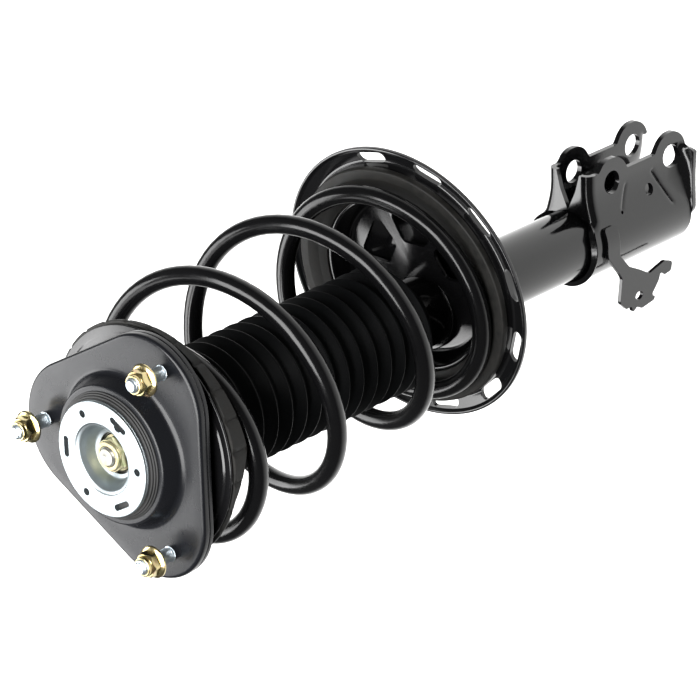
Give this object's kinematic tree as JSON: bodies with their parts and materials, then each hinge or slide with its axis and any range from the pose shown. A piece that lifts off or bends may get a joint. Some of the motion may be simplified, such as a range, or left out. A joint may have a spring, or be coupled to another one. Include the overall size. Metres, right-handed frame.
{
  "type": "suspension strut assembly",
  "caption": "Suspension strut: coil spring over a damper, with a studded rubber top mount, bellows boot and two-eared knuckle bracket.",
  "frame": {"origin": "centre of the circle through the three studs, on the mount plate's face that seats against the strut tower", "axes": "+Z along the damper axis towards the car body, +X towards the knuckle bracket's ears"},
  "size_m": [0.215, 0.2076, 0.6003],
  "materials": {
    "satin_black_paint": "satin electrocoat",
    "mount_rubber": "moulded, matte",
    "plain_steel": "machined",
    "bright_zinc": "blue-white zinc plate",
    "yellow_zinc": "yellow iridescent zinc plate",
    "bearing_steel": "ground and polished",
    "gloss_black_paint": "gloss electrocoat",
    "spring_coat": "gloss powder coat",
    "pad_rubber": "moulded, matte",
    "boot_rubber": "moulded, matte",
    "urethane_foam": "microcellular foam",
    "cap_plastic": "moulded",
    "chromed_rod": "ground hard chrome",
    "sintered_iron": "sintered",
    "guide_band": "filled PTFE",
    "stop_nylon": "moulded nylon",
    "drawn_steel": "cold drawn",
    "seal_rubber": "nitrile"
  },
  "bodies": {
    "top_mount": {"mount_plate": "satin_black_paint", "mount_lower_plate": "satin_black_paint", "mount_isolator": "mount_rubber", "mount_inner_sleeve": "plain_steel", "cover_disc": "bright_zinc", "mount_studs": "bright_zinc", "stud_nuts": "yellow_zinc", "rod_nut": "yellow_zinc", "rod_washer": "plain_steel", "lower_washer": "plain_steel", "bearing_upper_race": "bearing_steel", "piston_rod": "chromed_rod", "rebound_stop": "stop_nylon", "piston": "sintered_iron", "piston_band": "guide_band", "piston_nut": "plain_steel", "bump_stop": "urethane_foam"},
    "spring_pack": {"bearing_balls": "bearing_steel", "bearing_lower_race": "bearing_steel", "upper_spring_seat": "gloss_black_paint", "upper_insulator": "pad_rubber", "coil_spring": "spring_coat", "dust_boot": "boot_rubber"},
    "strut_body": {"bump_cap": "cap_plastic", "strut_tube": "gloss_black_paint", "inner_cylinder": "drawn_steel", "rod_guide": "sintered_iron", "oil_seal": "seal_rubber", "base_valve": "sintered_iron", "tube_end_cap": "gloss_black_paint", "lower_spring_seat": "gloss_black_paint", "lower_insulator": "pad_rubber", "knuckle_bracket": "gloss_black_paint", "brake_hose_tab": "gloss_black_paint"}
  },
  "joints": [
    {"name": "steering_turn", "type": "hinge", "parent": "top_mount", "child": "spring_pack", "pos_m": [0, 0, -0.021], "axis": [0, 0, 1], "continuous": true},
    {"name": "damper_stroke", "type": "slide", "parent": "spring_pack", "child": "strut_body", "axis": [0, 0, 1], "range_m": [0, 0.14], "stiffness_N_per_m": 22000, "springref_m": -0.05, "deforming": ["coil_spring", "dust_boot"]}
  ]
}
